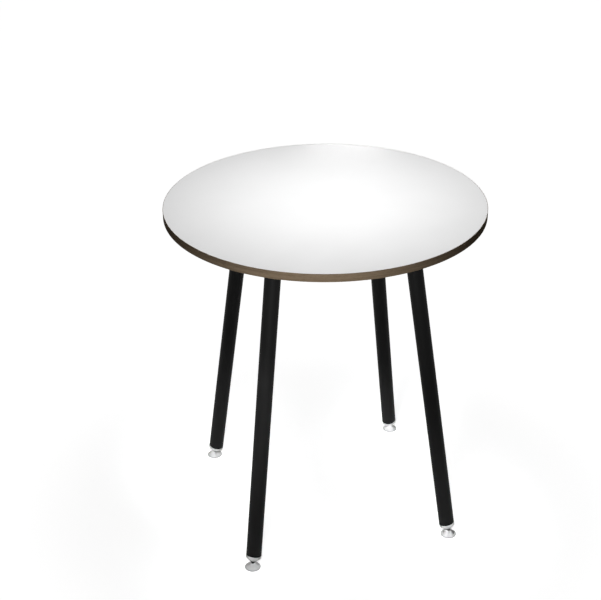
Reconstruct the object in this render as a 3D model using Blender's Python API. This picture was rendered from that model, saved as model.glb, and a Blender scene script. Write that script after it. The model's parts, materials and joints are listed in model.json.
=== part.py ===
"""Round high table: a laminated top on four splayed tube legs with swivelling levelling glides.

Metres, +Z up. The origin is the point on the floor under the middle of the tabletop, and the
front of the table faces -Y. Each leg leans outward along its own azimuth. A tube is placed from
the middle of its lower end and its foot from the centre of the swivel ball. The foot leans
further than the tube, and the tube's lower end is cut square to the foot.
"""

import math

import bmesh
import bpy
from mathutils import Vector

# Overall size
TABLE_HEIGHT = 1.100
TOP_RADIUS = 0.500
SEAT_GAP = 0.0003          # clearance between two pieces that touch on the real table

# Tabletop layers
TOP_THICKNESS = 0.025
LAMINATE_THICKNESS = 0.0008
BAND_THICKNESS = 0.0010
BAND_EDGE_CHAMFER = 0.0004

# Legs
LEG_AZIMUTHS = {"front_left": -135, "front_right": -45, "back_right": 45, "back_left": 135}
TUBE_RADIUS = 0.025
TUBE_WALL = 0.002
LEG_TOP_INSET = 0.2065     # from the tabletop's edge in to the leg's axis, at the underside
LEG_FLOOR_INSET = 0.0290   # the same where the leg's axis would meet the floor
FOOT_LEAN = math.radians(15)

# Mounting plates and their screws
PLATE_SIDE = 0.120
PLATE_THICKNESS = 0.004
PLATE_CORNER_RADIUS = 0.012
WELD_LEG = 0.004
SCREW_SPACING = 0.092
SCREW_RADIUS = 0.0025
SCREW_LENGTH = 0.020
SCREW_POINT = 0.004
SCREW_HEAD_RADIUS = 0.0050
SCREW_HEAD_HEIGHT = 0.0030

# Collars in the lower ends of the tubes
COLLAR_OVERHANG = 0.0004   # the lip stands this far outside the tube
COLLAR_LIP = 0.0088
COLLAR_CONE_HEIGHT = 0.0144
COLLAR_END_RADIUS = 0.0095
COLLAR_PLUG_LENGTH = 0.020
COLLAR_PLUG_CHAMFER = 0.0015

# Levelling stems
STEM_RADIUS = 0.0050
STEM_THREAD_LENGTH = 0.047
STEM_TIP_CHAMFER = 0.0012
HEX_ACROSS_FLATS = 0.014
HEX_HEIGHT = 0.0030
HEX_TO_COLLAR = 0.0004     # gap under the collar with the stem screwed right in
NECK_RADIUS = 0.0030
SPIGOT_RADIUS = 0.0020
RIVET_HEAD_RADIUS = 0.0030
RIVET_HEAD_HEIGHT = 0.0014

# Swivel balls and glides
BALL_RADIUS = 0.006
BALL_CENTRE_HEIGHT = 0.013
GLIDE_RADIUS = 0.0259
GLIDE_HEIGHT = 0.0169
GLIDE_RIM_HEIGHT = 0.0012
GLIDE_HOLLOW = 0.0014      # how far the shell's side sinks below a straight cone
GLIDE_MOUTH_RADIUS = 0.0052
GLIDE_MOUTH_WALL = 0.0012
GLIDE_TILT_LIMIT = math.radians(20)
SOLE_RADIUS = 0.0250
SOLE_THICKNESS = 0.0014
SOLE_STANDOUT = 0.0008     # the sole stands this far below the shell's rim
SOLE_CHAMFER = 0.0004

# Facets round each kind of turned piece
TOP_SEGMENTS = 96
TUBE_SEGMENTS = 32
FOOT_SEGMENTS = 28
STEM_SEGMENTS = 16
SCREW_SEGMENTS = 8
CORNER_SEGMENTS = 3
GLIDE_SIDE_STEPS = 3
SOCKET_STEPS = 5
BALL_STEPS = 7
WELD_STEPS = 2

# Worked out from the sizes above
MILLIMETRE = 0.001
UNDERSIDE = TABLE_HEIGHT - TOP_THICKNESS
LEG_TOP_RADIUS = TOP_RADIUS - LEG_TOP_INSET
LEG_FLOOR_RADIUS = TOP_RADIUS - LEG_FLOOR_INSET
LEG_LEAN = math.atan2(LEG_FLOOR_RADIUS - LEG_TOP_RADIUS, UNDERSIDE)
PLATE_TOP = UNDERSIDE - SEAT_GAP
PLATE_BOTTOM = PLATE_TOP - PLATE_THICKNESS
PLATE_RADIUS = LEG_TOP_RADIUS + (UNDERSIDE - PLATE_BOTTOM) * math.tan(LEG_LEAN)
BOARD_RADIUS = TOP_RADIUS - BAND_THICKNESS - SEAT_GAP
CORE_BOTTOM = UNDERSIDE + LAMINATE_THICKNESS + SEAT_GAP
CORE_TOP = TABLE_HEIGHT - LAMINATE_THICKNESS - SEAT_GAP
SCREW_HEAD_SEAT = PLATE_BOTTOM - SEAT_GAP
SCREW_TIP = SCREW_HEAD_SEAT + SCREW_LENGTH
SCREW_HOLE_RADIUS = SCREW_RADIUS + SEAT_GAP
SOCKET_RADIUS = BALL_RADIUS + SEAT_GAP
BALL_BORE_RADIUS = SPIGOT_RADIUS + SEAT_GAP

# Heights along the foot's axis, from the centre of the swivel ball
MOUTH_RIM_RADIUS = GLIDE_MOUTH_RADIUS + GLIDE_MOUTH_WALL
MOUTH_RIM_HEIGHT = GLIDE_HEIGHT - BALL_CENTRE_HEIGHT
MOUTH_RIM_REACH = (MOUTH_RIM_HEIGHT * math.cos(GLIDE_TILT_LIMIT)
                   + MOUTH_RIM_RADIUS * math.sin(GLIDE_TILT_LIMIT))
HEX_BOTTOM = MOUTH_RIM_REACH + SEAT_GAP
HEX_TOP = HEX_BOTTOM + HEX_HEIGHT
COLLAR_END = HEX_TOP + HEX_TO_COLLAR
COLLAR_LIP_BOTTOM = COLLAR_END + COLLAR_CONE_HEIGHT
COLLAR_LIP_TOP = COLLAR_LIP_BOTTOM + COLLAR_LIP
TUBE_END = COLLAR_LIP_TOP + SEAT_GAP
COLLAR_PLUG_RADIUS = TUBE_RADIUS - TUBE_WALL - SEAT_GAP
STEM_SHOULDER = math.sqrt(BALL_RADIUS ** 2 - BALL_BORE_RADIUS ** 2) + SEAT_GAP
RIVET_BOTTOM = RIVET_HEAD_HEIGHT - BALL_RADIUS
RIVET_TOP = RIVET_BOTTOM + RIVET_HEAD_HEIGHT
STEM_TOP = HEX_TOP + STEM_THREAD_LENGTH
STEM_BORE_RADIUS = STEM_RADIUS + SEAT_GAP / 2
STEM_CORE_RADIUS = STEM_RADIUS - SEAT_GAP / 2

# Middle of the tube's lower end, and how far from the table's axis the foot stands
TUBE_END_HEIGHT = BALL_CENTRE_HEIGHT + TUBE_END * math.cos(FOOT_LEAN)
TUBE_END_RADIUS = LEG_FLOOR_RADIUS - TUBE_END_HEIGHT * math.tan(LEG_LEAN)
FOOT_RADIUS = TUBE_END_RADIUS + TUBE_END * math.sin(FOOT_LEAN)

# Finishes: colour, roughness, metallic
FINISHES = {
    "white_laminate": ((0.90, 0.90, 0.90), 0.35, 0.0),
    "backing_laminate": ((0.80, 0.80, 0.79), 0.50, 0.0),
    "particle_board": ((0.52, 0.38, 0.22), 0.85, 0.0),
    "dark_oak_edge": ((0.20, 0.15, 0.10), 0.45, 0.0),
    "black_powder_coat": ((0.010, 0.010, 0.010), 0.45, 0.0),
    "zinc_plated_steel": ((0.62, 0.62, 0.60), 0.35, 1.0),
    "satin_grey_metal": ((0.62, 0.62, 0.62), 0.35, 0.6),
    "black_steel": ((0.020, 0.020, 0.020), 0.40, 1.0),
    "black_nylon": ((0.020, 0.020, 0.020), 0.50, 0.0),
    "grey_felt": ((0.16, 0.16, 0.16), 0.95, 0.0),
}


def clear_scene():
    """Remove every object of the open file."""
    for item in list(bpy.data.objects):
        bpy.data.objects.remove(item, do_unlink=True)


def finish(name):
    """Return the named finish as a Principled BSDF material."""
    if name in bpy.data.materials:
        return bpy.data.materials[name]
    colour, roughness, metallic = FINISHES[name]
    material = bpy.data.materials.new(name)
    material.use_nodes = True
    shader = material.node_tree.nodes["Principled BSDF"]
    shader.inputs["Base Color"].default_value = (*colour, 1.0)
    shader.inputs["Roughness"].default_value = roughness
    shader.inputs["Metallic"].default_value = metallic
    return material


def add_object(name, mesh_builder, finish_name, parent=None):
    """Turn a bmesh into a named, smooth-shaded object with its finish."""
    bmesh.ops.recalc_face_normals(mesh_builder, faces=mesh_builder.faces)
    mesh = bpy.data.meshes.new(name)
    mesh_builder.to_mesh(mesh)
    mesh_builder.free()
    mesh.shade_smooth()
    mesh.set_sharp_from_angle(angle=math.radians(30))
    mesh.materials.append(finish(finish_name))
    item = bpy.data.objects.new(name, mesh)
    bpy.context.collection.objects.link(item)
    item.parent = parent
    return item


def add_frame(name, location, rotation):
    """Add an empty that carries the pieces of one leg."""
    frame = bpy.data.objects.new(name, None)
    frame.location = location
    frame.rotation_euler = rotation
    bpy.context.collection.objects.link(frame)
    return frame


def turned(profile, segments, closed=False):
    """Spin a profile of (radius, height) points once round Z.

    A profile that isn't closed starts and ends on the axis.
    """
    solid = bmesh.new()
    verts = [solid.verts.new((radius, 0.0, height)) for radius, height in profile]
    edges = [solid.edges.new(pair) for pair in zip(verts, verts[1:])]
    if closed:
        edges.append(solid.edges.new((verts[-1], verts[0])))
    bmesh.ops.spin(solid, geom=verts + edges, cent=(0, 0, 0), axis=(0, 0, 1),
                   angle=math.tau, steps=segments, use_merge=True)
    bmesh.ops.remove_doubles(solid, verts=solid.verts, dist=1e-6)
    return solid


def arc(radius, start, end, steps, centre=0.0):
    """Return (radius, height) points on a circle about a centre on the axis, angles from +X."""
    angles = [start + (end - start) * step / steps for step in range(steps + 1)]
    return [(radius * math.cos(angle), centre + radius * math.sin(angle)) for angle in angles]


def bowed(start, end, bulge, steps):
    """Return points from start to end on a curve that swells by bulge in its middle."""
    run = Vector(end) - Vector(start)
    side = Vector((run.y, -run.x)).normalized()
    points = []
    for step in range(steps + 1):
        share = step / steps
        swell = 4 * bulge * share * (1 - share)
        points.append(tuple(Vector(start) + run * share + side * swell))
    return points


def combine(item, operation, tool_builder, name, parent=None):
    """Join a closed bmesh to a piece (UNION) or cut it out of the piece (DIFFERENCE)."""
    bmesh.ops.recalc_face_normals(tool_builder, faces=tool_builder.faces)
    mesh = bpy.data.meshes.new(name)
    tool_builder.to_mesh(mesh)
    tool_builder.free()
    tool = bpy.data.objects.new(name, mesh)
    bpy.context.collection.objects.link(tool)
    tool.parent = parent
    tool.hide_render = True
    tool.display_type = "WIRE"
    modifier = item.modifiers.new(name, "BOOLEAN")
    modifier.operation = operation
    modifier.solver = "EXACT"
    modifier.object = tool


def merge_into(target, source):
    """Append one bmesh to another and free it."""
    mesh = bpy.data.meshes.new("passing")
    source.to_mesh(mesh)
    source.free()
    target.from_mesh(mesh)
    bpy.data.meshes.remove(mesh)


def moved(solid, offset):
    """Shift a bmesh and return it."""
    bmesh.ops.translate(solid, verts=solid.verts, vec=offset)
    return solid


def screw_places(azimuth):
    """Return the four screw places of one mounting plate, as points on the floor plane."""
    outward = Vector((math.cos(azimuth), math.sin(azimuth), 0))
    across = Vector((-math.sin(azimuth), math.cos(azimuth), 0))
    half = SCREW_SPACING / 2
    middle = outward * PLATE_RADIUS
    return [middle + outward * half * along + across * half * aside
            for along in (-1, 1) for aside in (-1, 1)]


def screw_profile(radius, top, bottom, spare=0.0):
    """Return half the outline of a screw's pointed shank, or of its hole with some to spare."""
    return [(0, top + spare), (radius, top - SCREW_POINT), (radius, bottom), (0, bottom)]


def pilot_hole_cutter():
    """Return one bmesh with the cutters of all the screw holes in the tabletop."""
    holes = bmesh.new()
    profile = screw_profile(SCREW_HOLE_RADIUS, SCREW_TIP, UNDERSIDE - MILLIMETRE, MILLIMETRE)
    for degrees in LEG_AZIMUTHS.values():
        for place in screw_places(math.radians(degrees)):
            merge_into(holes, moved(turned(profile, SCREW_SEGMENTS), place))
    return holes


def disc(radius, bottom, top):
    """Return a flat round disc."""
    return turned([(0, top), (radius, top), (radius, bottom), (0, bottom)], TOP_SEGMENTS)


def build_tabletop():
    """Build the core, the two laminates and the edge band."""
    core = add_object("tabletop_core", disc(BOARD_RADIUS, CORE_BOTTOM, CORE_TOP),
                      "particle_board")
    backing = add_object("backing_laminate",
                         disc(BOARD_RADIUS, UNDERSIDE, UNDERSIDE + LAMINATE_THICKNESS),
                         "backing_laminate")
    add_object("top_laminate",
               disc(BOARD_RADIUS, TABLE_HEIGHT - LAMINATE_THICKNESS, TABLE_HEIGHT),
               "white_laminate")
    combine(core, "DIFFERENCE", pilot_hole_cutter(), "core_pilot_holes")
    combine(backing, "DIFFERENCE", pilot_hole_cutter(), "backing_pilot_holes")
    inner = TOP_RADIUS - BAND_THICKNESS
    shoulder = TOP_RADIUS - BAND_EDGE_CHAMFER
    band = [(inner, TABLE_HEIGHT), (shoulder, TABLE_HEIGHT),
            (TOP_RADIUS, TABLE_HEIGHT - BAND_EDGE_CHAMFER),
            (TOP_RADIUS, UNDERSIDE + BAND_EDGE_CHAMFER),
            (shoulder, UNDERSIDE), (inner, UNDERSIDE)]
    add_object("edge_band", turned(band, TOP_SEGMENTS, closed=True), "dark_oak_edge")


def rounded_plate():
    """Return the outline of a mounting plate, extruded down from its top face."""
    solid = bmesh.new()
    corner_middle = PLATE_SIDE / 2 - PLATE_CORNER_RADIUS
    verts = []
    for quarter in range(4):
        turn = quarter * math.pi / 2
        middle = Vector((math.cos(turn) - math.sin(turn), math.sin(turn) + math.cos(turn), 0))
        middle *= corner_middle
        for step in range(CORNER_SEGMENTS + 1):
            angle = turn + math.pi / 2 * step / CORNER_SEGMENTS
            offset = Vector((math.cos(angle), math.sin(angle), 0)) * PLATE_CORNER_RADIUS
            verts.append(solid.verts.new(middle + offset + Vector((0, 0, PLATE_TOP))))
    face = solid.faces.new(verts)
    raised = bmesh.ops.extrude_face_region(solid, geom=[face])
    lower = [item for item in raised["geom"] if isinstance(item, bmesh.types.BMVert)]
    bmesh.ops.translate(solid, verts=lower, vec=(0, 0, -PLATE_THICKNESS))
    return solid


def weld_bead():
    """Return the hollow fillet of weld that runs round a leaning tube under its plate."""
    solid = bmesh.new()
    inner = TUBE_RADIUS + SEAT_GAP
    root = PLATE_BOTTOM + PLATE_THICKNESS / 4
    rings = [(inner, root), (inner + WELD_LEG, root), (inner + WELD_LEG, PLATE_BOTTOM)]
    for step in range(1, WELD_STEPS + 1):
        angle = math.pi / 2 * step / WELD_STEPS
        rings.append((inner + WELD_LEG * (1 - math.sin(angle)),
                      PLATE_BOTTOM - WELD_LEG * (1 - math.cos(angle))))
    loops = []
    for radius, height in rings:
        shift = (PLATE_BOTTOM - height) * math.tan(LEG_LEAN)
        loop = []
        for step in range(TUBE_SEGMENTS):
            angle = math.tau * step / TUBE_SEGMENTS
            loop.append(solid.verts.new((shift + radius * math.cos(angle) / math.cos(LEG_LEAN),
                                         radius * math.sin(angle), height)))
        loops.append(loop)
    for loop, following in zip(loops, loops[1:] + loops[:1]):
        for index in range(TUBE_SEGMENTS):
            after = (index + 1) % TUBE_SEGMENTS
            solid.faces.new((loop[index], loop[after], following[after], following[index]))
    return solid


def build_plate(corner, azimuth):
    """Build a leg's mounting plate with its weld, and the four screws that hold it."""
    frame = add_frame("plate_frame_" + corner,
                      (PLATE_RADIUS * math.cos(azimuth), PLATE_RADIUS * math.sin(azimuth), 0),
                      (0, 0, azimuth))
    plate = add_object("mounting_plate_" + corner, rounded_plate(), "black_powder_coat", frame)
    combine(plate, "UNION", weld_bead(), "weld_" + corner, frame)

    holes = bmesh.new()
    shank = SCREW_RADIUS - SEAT_GAP / 2
    head_bottom = SCREW_HEAD_SEAT - SCREW_HEAD_HEIGHT
    hole = [(0, PLATE_TOP + MILLIMETRE), (SCREW_HOLE_RADIUS, PLATE_TOP + MILLIMETRE),
            (SCREW_HOLE_RADIUS, PLATE_BOTTOM - MILLIMETRE), (0, PLATE_BOTTOM - MILLIMETRE)]
    screw = screw_profile(shank, SCREW_TIP, SCREW_HEAD_SEAT)[:-1]
    screw += [(SCREW_HEAD_RADIUS, SCREW_HEAD_SEAT),
              (SCREW_HEAD_RADIUS, SCREW_HEAD_SEAT - SCREW_HEAD_HEIGHT / 3),
              (SCREW_HEAD_RADIUS / 2, head_bottom), (0, head_bottom)]
    for number, place in enumerate(screw_places(azimuth), start=1):
        merge_into(holes, moved(turned(hole, SCREW_SEGMENTS), place))
        add_object(f"plate_screw_{corner}_{number}",
                   moved(turned(screw, SCREW_SEGMENTS), place), "zinc_plated_steel")
    combine(plate, "DIFFERENCE", holes, "plate_holes_" + corner)


def tube_solid():
    """Return a leg tube, mitred flat under its mounting plate and square to its foot below."""
    inner = TUBE_RADIUS - TUBE_WALL
    top = (PLATE_BOTTOM - SEAT_GAP - TUBE_END_HEIGHT) / math.cos(LEG_LEAN)
    solid = turned([(inner, top), (TUBE_RADIUS, top), (TUBE_RADIUS, 0), (inner, 0)],
                   TUBE_SEGMENTS, closed=True)
    for vert in solid.verts:
        if vert.co.z > top / 2:
            vert.co.z = top - vert.co.x * math.tan(LEG_LEAN)
        else:
            vert.co.z = vert.co.x * math.tan(FOOT_LEAN - LEG_LEAN)
    return solid


def collar_solid():
    """Return the turned lower part of a collar: the lip under the tube and the cone."""
    lip = TUBE_RADIUS + COLLAR_OVERHANG
    return turned([(0, COLLAR_LIP_TOP), (lip, COLLAR_LIP_TOP), (lip, COLLAR_LIP_BOTTOM),
                   (COLLAR_END_RADIUS, COLLAR_END), (0, COLLAR_END)], FOOT_SEGMENTS)


def plug_solid():
    """Return a collar's plug, which fills the tube's end and starts inside the lip."""
    return turned([(0, COLLAR_PLUG_LENGTH),
                   (COLLAR_PLUG_RADIUS - COLLAR_PLUG_CHAMFER, COLLAR_PLUG_LENGTH),
                   (COLLAR_PLUG_RADIUS, COLLAR_PLUG_LENGTH - COLLAR_PLUG_CHAMFER),
                   (COLLAR_PLUG_RADIUS, -COLLAR_LIP / 2), (0, -COLLAR_LIP / 2)], FOOT_SEGMENTS)


def bore_cutter():
    """Return the cutter of a collar's bore, along the foot's axis and past both ends."""
    top = TUBE_END + COLLAR_PLUG_LENGTH + TUBE_RADIUS
    return turned([(0, top), (STEM_BORE_RADIUS, top), (STEM_BORE_RADIUS, HEX_TOP),
                   (0, HEX_TOP)], STEM_SEGMENTS)


def stem_solid():
    """Return the turned levelling stem, from its riveted spigot up to its threaded tip."""
    profile = [(0, STEM_TOP), (STEM_CORE_RADIUS - STEM_TIP_CHAMFER, STEM_TOP),
               (STEM_CORE_RADIUS, STEM_TOP - STEM_TIP_CHAMFER),
               (STEM_CORE_RADIUS, HEX_BOTTOM + HEX_HEIGHT / 2),
               (NECK_RADIUS, HEX_BOTTOM + HEX_HEIGHT / 2), (NECK_RADIUS, STEM_SHOULDER),
               (SPIGOT_RADIUS, STEM_SHOULDER), (SPIGOT_RADIUS, RIVET_TOP),
               (RIVET_HEAD_RADIUS, RIVET_TOP), (RIVET_HEAD_RADIUS, RIVET_BOTTOM),
               (0, RIVET_BOTTOM)]
    return turned(profile, STEM_SEGMENTS)


def hex_solid():
    """Return the spanner hexagon of the stem."""
    corner = HEX_ACROSS_FLATS / math.sqrt(3)
    return turned([(0, HEX_TOP), (corner, HEX_TOP), (corner, HEX_BOTTOM), (0, HEX_BOTTOM)], 6)


def ball_solid():
    """Return the swivel ball, bored through for the spigot and counterbored for its rivet."""
    counterbore = RIVET_HEAD_RADIUS + SEAT_GAP
    seat = RIVET_TOP + SEAT_GAP
    start = math.acos(BALL_BORE_RADIUS / BALL_RADIUS)
    end = -math.acos(counterbore / BALL_RADIUS)
    profile = arc(BALL_RADIUS, start, end, BALL_STEPS)
    profile += [(counterbore, seat), (BALL_BORE_RADIUS, seat)]
    return turned(profile, STEM_SEGMENTS, closed=True)


def glide_shell_solid():
    """Return the flared shell of a glide: ball socket above, recess for the sole below."""
    rim_bottom = SOLE_STANDOUT - BALL_CENTRE_HEIGHT
    rim_top = rim_bottom + GLIDE_RIM_HEIGHT
    recess = SOLE_RADIUS + SEAT_GAP
    recess_top = SOLE_THICKNESS + SEAT_GAP - BALL_CENTRE_HEIGHT
    mouth_angle = math.acos(GLIDE_MOUTH_RADIUS / SOCKET_RADIUS)
    side = bowed((GLIDE_RADIUS, rim_top), (MOUTH_RIM_RADIUS, MOUTH_RIM_HEIGHT), -GLIDE_HOLLOW,
                 GLIDE_SIDE_STEPS)
    socket = arc(SOCKET_RADIUS, mouth_angle, -math.pi / 2, SOCKET_STEPS)
    socket[-1] = (0, socket[-1][1])
    profile = [(0, recess_top), (recess, recess_top), (recess, rim_bottom),
               (GLIDE_RADIUS, rim_bottom)]
    profile += side
    profile += [(GLIDE_MOUTH_RADIUS, MOUTH_RIM_HEIGHT)]
    profile += socket
    return turned(profile, FOOT_SEGMENTS)


def sole_solid():
    """Return the soft sole of a glide, flat on the floor."""
    bottom = -BALL_CENTRE_HEIGHT
    top = SOLE_THICKNESS - BALL_CENTRE_HEIGHT
    return turned([(0, top), (SOLE_RADIUS, top), (SOLE_RADIUS, bottom + SOLE_CHAMFER),
                   (SOLE_RADIUS - SOLE_CHAMFER, bottom), (0, bottom)], FOOT_SEGMENTS)


def build_leg(corner, azimuth):
    """Build one leg: tube, collar, stem, swivel ball, glide shell and sole."""
    outward = Vector((math.cos(azimuth), math.sin(azimuth), 0))
    tube_end = outward * TUBE_END_RADIUS + Vector((0, 0, TUBE_END_HEIGHT))
    ball_centre = outward * FOOT_RADIUS + Vector((0, 0, BALL_CENTRE_HEIGHT))
    leg = add_frame("leg_frame_" + corner, tube_end, (0, -LEG_LEAN, azimuth))
    foot = add_frame("foot_frame_" + corner, ball_centre, (0, -FOOT_LEAN, azimuth))
    glide = add_frame("glide_frame_" + corner, ball_centre, (0, 0, azimuth))
    add_object("leg_tube_" + corner, tube_solid(), "black_powder_coat", leg)
    collar = add_object("foot_collar_" + corner, collar_solid(), "satin_grey_metal", foot)
    combine(collar, "UNION", plug_solid(), "collar_plug_" + corner, leg)
    combine(collar, "DIFFERENCE", bore_cutter(), "collar_bore_" + corner, foot)
    stem = add_object("levelling_stem_" + corner, stem_solid(), "black_steel", foot)
    combine(stem, "UNION", hex_solid(), "stem_hexagon_" + corner, foot)
    add_object("swivel_ball_" + corner, ball_solid(), "black_nylon", foot)
    add_object("glide_shell_" + corner, glide_shell_solid(), "satin_grey_metal", glide)
    add_object("glide_sole_" + corner, sole_solid(), "grey_felt", glide)


def main():
    """Build the whole table."""
    clear_scene()
    build_tabletop()
    for corner, degrees in LEG_AZIMUTHS.items():
        azimuth = math.radians(degrees)
        build_plate(corner, azimuth)
        build_leg(corner, azimuth)


main()
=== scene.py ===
"""Dressed model of the round high table: laminated top, dark oak edge, splayed black legs.

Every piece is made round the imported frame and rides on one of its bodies. The feet's places and
leans are read from the frame's joints, the tubes' from their nodes, and the heights and radii
from the boxes of the nodes.
"""
import json
import logging
import math
from dataclasses import dataclass, field, replace
from enum import Enum
from typing import Callable, Sequence

import bmesh
import bpy
from mathutils import Matrix, Vector


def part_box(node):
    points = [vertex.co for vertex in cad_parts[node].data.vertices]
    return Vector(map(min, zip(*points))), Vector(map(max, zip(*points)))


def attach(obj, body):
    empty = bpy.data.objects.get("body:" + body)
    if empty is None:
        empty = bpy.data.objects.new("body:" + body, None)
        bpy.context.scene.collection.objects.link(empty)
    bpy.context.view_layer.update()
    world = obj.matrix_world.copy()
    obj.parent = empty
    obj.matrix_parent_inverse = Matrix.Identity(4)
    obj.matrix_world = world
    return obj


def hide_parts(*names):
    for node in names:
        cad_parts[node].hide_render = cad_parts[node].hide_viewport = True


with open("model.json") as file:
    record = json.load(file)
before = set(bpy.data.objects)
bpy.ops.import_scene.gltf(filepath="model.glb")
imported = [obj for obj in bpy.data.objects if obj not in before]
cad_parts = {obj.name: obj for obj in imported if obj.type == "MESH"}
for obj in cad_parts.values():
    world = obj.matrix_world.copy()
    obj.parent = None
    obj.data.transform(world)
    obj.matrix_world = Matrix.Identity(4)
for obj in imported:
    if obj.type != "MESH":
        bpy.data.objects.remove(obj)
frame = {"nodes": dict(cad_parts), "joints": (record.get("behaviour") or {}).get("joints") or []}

LOG = logging.getLogger("high_table")
PHOTO_SIZE = (601, 600)
SENSOR_WIDTH = 36.0
MILLIMETRE = 0.001
SEAT_GAP = 0.0003
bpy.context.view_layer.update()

Pair = tuple[float, float]
Triple = tuple[float, float, float]
Profile = list[Pair]
RadiusAt = Callable[[float], float]
Socket = bpy.types.NodeSocket
Solid = bmesh.types.BMesh


class Corner(Enum):
    """The four legs, named as seen from the front."""

    FRONT_LEFT = "front_left"
    FRONT_RIGHT = "front_right"
    BACK_RIGHT = "back_right"
    BACK_LEFT = "back_left"


class Slot(Enum):
    """The record's material slots."""

    WHITE_LAMINATE = "white_laminate"
    BACKING_LAMINATE = "backing_laminate"
    PARTICLE_BOARD = "particle_board"
    DARK_OAK_EDGE = "dark_oak_edge"
    BLACK_POWDER_COAT = "black_powder_coat"
    ZINC_PLATED_STEEL = "zinc_plated_steel"
    SATIN_GREY_METAL = "satin_grey_metal"
    BLACK_STEEL = "black_steel"
    BLACK_NYLON = "black_nylon"
    GREY_FELT = "grey_felt"


# Node graphs

class Graph:
    """A node tree with short calls for the nodes that the finishes and the stage share."""

    def __init__(self, owner: bpy.types.Material | bpy.types.World) -> None:
        """Turn on the owner's nodes.

        Args:
            owner: The material or the surroundings that the nodes belong to.
        """
        owner.use_nodes = True
        self.owner = owner
        self.tree = owner.node_tree

    @classmethod
    def of_material(cls, name: str) -> "Graph":
        """Return the graph of a new material."""
        return cls(bpy.data.materials.new(name))

    def add(self, kind: str, **settings: object) -> bpy.types.Node:
        """Add a node and set its inputs and properties.

        Args:
            kind: The node's Blender type name.
            settings: Values by the name of an input, spaces as underscores, or of a property.

        Returns:
            The new node.
        """
        node = self.tree.nodes.new(kind)
        for key, value in settings.items():
            name = key.replace("_", " ")
            if name in node.inputs:
                node.inputs[name].default_value = value
            else:
                setattr(node, key, value)
        return node

    def link(self, source: Socket, target: Socket) -> None:
        """Join an output socket to an input socket."""
        self.tree.links.new(source, target)

    def place(self, scale: Triple) -> Socket:
        """Return the piece's own coordinates, stretched by scale along each axis.

        Args:
            scale: Features per metre along X, Y and Z.

        Returns:
            The vector socket.
        """
        mapping = self.add("ShaderNodeMapping", Scale=scale)
        self.link(self.add("ShaderNodeTexCoord").outputs["Object"], mapping.inputs["Vector"])
        return mapping.outputs["Vector"]

    def height(self) -> Socket:
        """Return the height along the piece's own Z, in metres.

        Returns:
            The value socket.
        """
        parts = self.add("ShaderNodeSeparateXYZ")
        self.link(self.place(even(1.0)), parts.inputs["Vector"])
        return parts.outputs["Z"]

    def noise(self, scale: Triple, detail: float = 3.0, roughness: float = 0.5,
              distortion: float = 0.0) -> Socket:
        """Return a noise value between 0 and 1.

        Args:
            scale: Features per metre along X, Y and Z.
            detail: Number of finer octaves.
            roughness: Strength of the finer octaves.
            distortion: How far the noise is stirred.

        Returns:
            The value socket.
        """
        node = self.add("ShaderNodeTexNoise", Scale=1.0, Detail=detail, Roughness=roughness,
                        Distortion=distortion)
        self.link(self.place(scale), node.inputs["Vector"])
        return node.outputs["Fac"]

    def combine(self, operation: str, *values: Socket | float) -> Socket:
        """Return the result of a math operation on sockets and constants.

        Args:
            operation: The math node's operation.
            values: What goes into it, in order.

        Returns:
            The value socket.
        """
        node = self.add("ShaderNodeMath", operation=operation)
        for value, target in zip(values, node.inputs):
            if isinstance(value, Socket):
                self.link(value, target)
            else:
                target.default_value = value
        return node.outputs[0]

    def spread(self, value: Socket, span: Pair, result: Pair = (0.0, 1.0)) -> Socket:
        """Map a value from one range to another, clamped.

        Args:
            value: The value socket.
            span: Start and end of the range that is read.
            result: Values at the start and at the end.

        Returns:
            The mapped value socket.
        """
        node = self.add("ShaderNodeMapRange", From_Min=span[0], From_Max=span[1],
                        To_Min=result[0], To_Max=result[1])
        self.link(value, node.inputs["Value"])
        return node.outputs["Result"]

    def ramp(self, value: Socket, places: Sequence[float], colours: Sequence[Triple]) -> Socket:
        """Return a colour read from a ramp along a value.

        Args:
            value: The value socket, 0 to 1.
            places: Where on the ramp the colours are, in order.
            colours: The linear colours.

        Returns:
            The colour socket.
        """
        node = self.add("ShaderNodeValToRGB")
        elements = node.color_ramp.elements
        while len(elements) < len(places):
            elements.new(1.0)
        for element, position, colour in zip(elements, places, colours):
            element.position = position
            element.color = (*colour, 1.0)
        self.link(value, node.inputs["Fac"])
        return node.outputs["Color"]

    def shaded(self, value: Socket, span: Pair, colour: Triple, shades: Pair) -> Socket:
        """Return a colour that goes from a darker to a lighter shade along a value."""
        return self.ramp(value, span, [tint(colour, shade) for shade in shades])

    def mix(self, share: Socket, first: Socket, second: Socket) -> Socket:
        """Blend two colours.

        Args:
            share: The second colour's share, 0 to 1.
            first: The first colour socket.
            second: The second colour socket.

        Returns:
            The colour socket.
        """
        node = self.add("ShaderNodeMix", data_type="RGBA")
        for name, source in (("Factor", share), ("A", first), ("B", second)):
            self.link(source, node.inputs[name])
        return node.outputs["Result"]

    def bump(self, height: Socket, distance: float, strength: float,
             onto: Socket | None = None) -> Socket:
        """Return a normal bent by a height value.

        Args:
            height: The height socket, 0 to 1.
            distance: Real height of a step from 0 to 1, in metres.
            strength: Share of the bump that is used.
            onto: Another bump's normal to add to, if any.

        Returns:
            The normal socket.
        """
        node = self.add("ShaderNodeBump", Distance=distance, Strength=strength)
        self.link(height, node.inputs["Height"])
        if onto is not None:
            self.link(onto, node.inputs["Normal"])
        return node.outputs["Normal"]

    def seen_directly(self) -> Socket:
        """Return 1 for rays from the camera, from gloss and through glass, else 0.

        Returns:
            The value socket.
        """
        rays = self.add("ShaderNodeLightPath").outputs
        glossy = self.combine("MAXIMUM", rays["Is Camera Ray"], rays["Is Glossy Ray"])
        return self.combine("MAXIMUM", glossy, rays["Is Transmission Ray"])

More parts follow.
